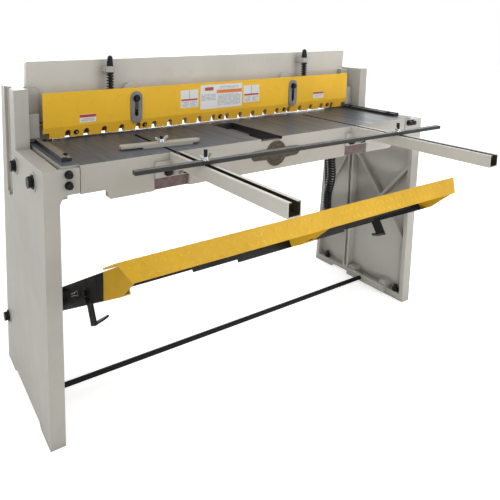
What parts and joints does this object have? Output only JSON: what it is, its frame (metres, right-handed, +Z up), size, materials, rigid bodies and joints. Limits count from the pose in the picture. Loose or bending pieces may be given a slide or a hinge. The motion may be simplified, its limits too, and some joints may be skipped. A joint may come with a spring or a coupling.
{
  "type": "foot-operated sheet metal shear",
  "caption": "Treadle-operated bench-height sheet metal shear: two cast side frames, slotted table, sliding crosshead with blade, sprung finger guard, front, bevel, side and back gauges.",
  "frame": {"origin": "on the floor, below the middle of the bounding box", "axes": "+X to the operator's right along the table, +Y from the operator to the back, +Z up"},
  "size_m": [1.638, 1.13, 1.0826],
  "materials": {
    "beige_paint": "semi-gloss cast-iron enamel",
    "yellow_paint": "gloss safety enamel",
    "black_paint": "satin enamel",
    "black_oxide": "black oxide, oiled",
    "machined_steel": "ground",
    "dark_steel": "phosphated",
    "zinc": "zinc plated",
    "spring_black": "black enamel",
    "bronze": "dull cast",
    "brown_panel": "matt primer"
  },
  "bodies": {
    "frame": {"side_frame_left": "beige_paint", "side_frame_right": "beige_paint", "bed": "beige_paint", "lower_blade": "machined_steel", "lower_blade_screws": "black_oxide", "frame_bolts": "black_oxide", "tie_rod": "black_paint", "tie_rod_nuts": "black_oxide", "tie_strap_left": "beige_paint", "tie_strap_right": "beige_paint", "strap_bolts": "beige_paint", "blade_guides": "beige_paint", "guide_screws": "black_oxide", "side_gauge_left": "dark_steel", "side_gauge_right": "dark_steel", "side_gauge_screws": "black_oxide", "support_arm_left": "beige_paint", "support_arm_right": "beige_paint", "arm_bolts": "black_oxide", "levelling_screws": "black_oxide", "pivot_pins": "black_oxide", "badge_plate": "bronze", "recess_plates": "brown_panel", "spring_hangers": "black_paint", "return_springs": "spring_black"},
    "crosshead": {"crosshead": "beige_paint", "upper_blade": "machined_steel", "upper_blade_screws": "black_oxide", "spring_lugs": "beige_paint", "slot_screws": "black_oxide", "link_pins": "machined_steel", "back_gauge_rods": "zinc"},
    "hold_down": {"finger_guard": "yellow_paint", "hold_down_bar": "yellow_paint", "slot_plates": "machined_steel", "guard_screws": "black_oxide", "hold_down_studs": "zinc", "acorn_nuts": "black_oxide", "hold_down_springs": "spring_black"},
    "treadle": {"treadle_arm_left": "black_paint", "treadle_arm_right": "black_paint", "treadle_arm_middle": "yellow_paint", "treadle_beam": "black_paint", "tread_plate": "yellow_paint", "treadle_hooks": "black_paint", "pivot_bushes": "bronze", "treadle_pins": "black_oxide", "spring_eyes": "black_paint"},
    "links": {"link_left": "black_paint", "link_right": "black_paint"},
    "front_gauge": {"front_gauge_bar": "dark_steel", "front_gauge_bolts": "black_oxide"},
    "left_wing_nut": {"gauge_wing_nut_left": "zinc"},
    "right_wing_nut": {"gauge_wing_nut_right": "zinc"},
    "bevel_slide": {"bevel_gauge_bolt": "black_oxide"},
    "bevel_gauge": {"bevel_gauge": "beige_paint"},
    "bevel_nut": {"bevel_wing_nut": "zinc"},
    "back_gauge": {"back_gauge_bar": "dark_steel", "back_gauge_clamps": "zinc"}
  },
  "joints": [
    {"name": "treadle_pivot", "type": "hinge", "parent": "frame", "child": "treadle", "pos_m": [0, 0.37, 0.1764], "axis": [1, 0, 0], "range_deg": [0, 26], "deforming": ["return_springs"]},
    {"name": "crosshead_slide", "type": "slide", "parent": "frame", "child": "crosshead", "axis": [0, 0, -1], "range_m": [0, 0.045], "deforming": ["hold_down_springs"]},
    {"name": "hold_down_slide", "type": "slide", "parent": "frame", "child": "hold_down", "axis": [0, 0, -1], "range_m": [0, 0.0059]},
    {"name": "link_tilt", "type": "hinge", "parent": "crosshead", "child": "links", "pos_m": [0, 0.3015, 0.62], "axis": [1, 0, 0], "range_deg": [-2.5, 0]},
    {"name": "front_gauge_slide", "type": "slide", "parent": "frame", "child": "front_gauge", "axis": [0, 1, 0], "range_m": [-0.28, 0.11]},
    {"name": "left_wing_nut_turn", "type": "hinge", "parent": "front_gauge", "child": "left_wing_nut", "pos_m": [-0.396, -0.23, 0.83], "axis": [0, 0, 1], "continuous": true},
    {"name": "right_wing_nut_turn", "type": "hinge", "parent": "front_gauge", "child": "right_wing_nut", "pos_m": [0.396, -0.25, 0.83], "axis": [0, 0, 1], "continuous": true},
    {"name": "bevel_gauge_slide", "type": "slide", "parent": "frame", "child": "bevel_slide", "axis": [0, 1, 0], "range_m": [-0.02, 0.12]},
    {"name": "bevel_gauge_swivel", "type": "hinge", "parent": "bevel_slide", "child": "bevel_gauge", "pos_m": [-0.396, 0.009, 0.812], "axis": [0, 0, 1], "range_deg": [-25, 25]},
    {"name": "bevel_nut_turn", "type": "hinge", "parent": "bevel_slide", "child": "bevel_nut", "pos_m": [-0.396, 0.009, 0.83], "axis": [0, 0, 1], "continuous": true},
    {"name": "back_gauge_slide", "type": "slide", "parent": "crosshead", "child": "back_gauge", "axis": [0, 1, 0], "range_m": [-0.06, 0.11]}
  ],
  "couplings": [
    {"joint": "crosshead_slide", "follows": "treadle_pivot", "m_per_rad": 0.09916},
    {"joint": "hold_down_slide", "follows": "treadle_pivot", "m_per_rad": 0.013},
    {"joint": "link_tilt", "follows": "treadle_pivot", "ratio": -0.0919}
  ]
}
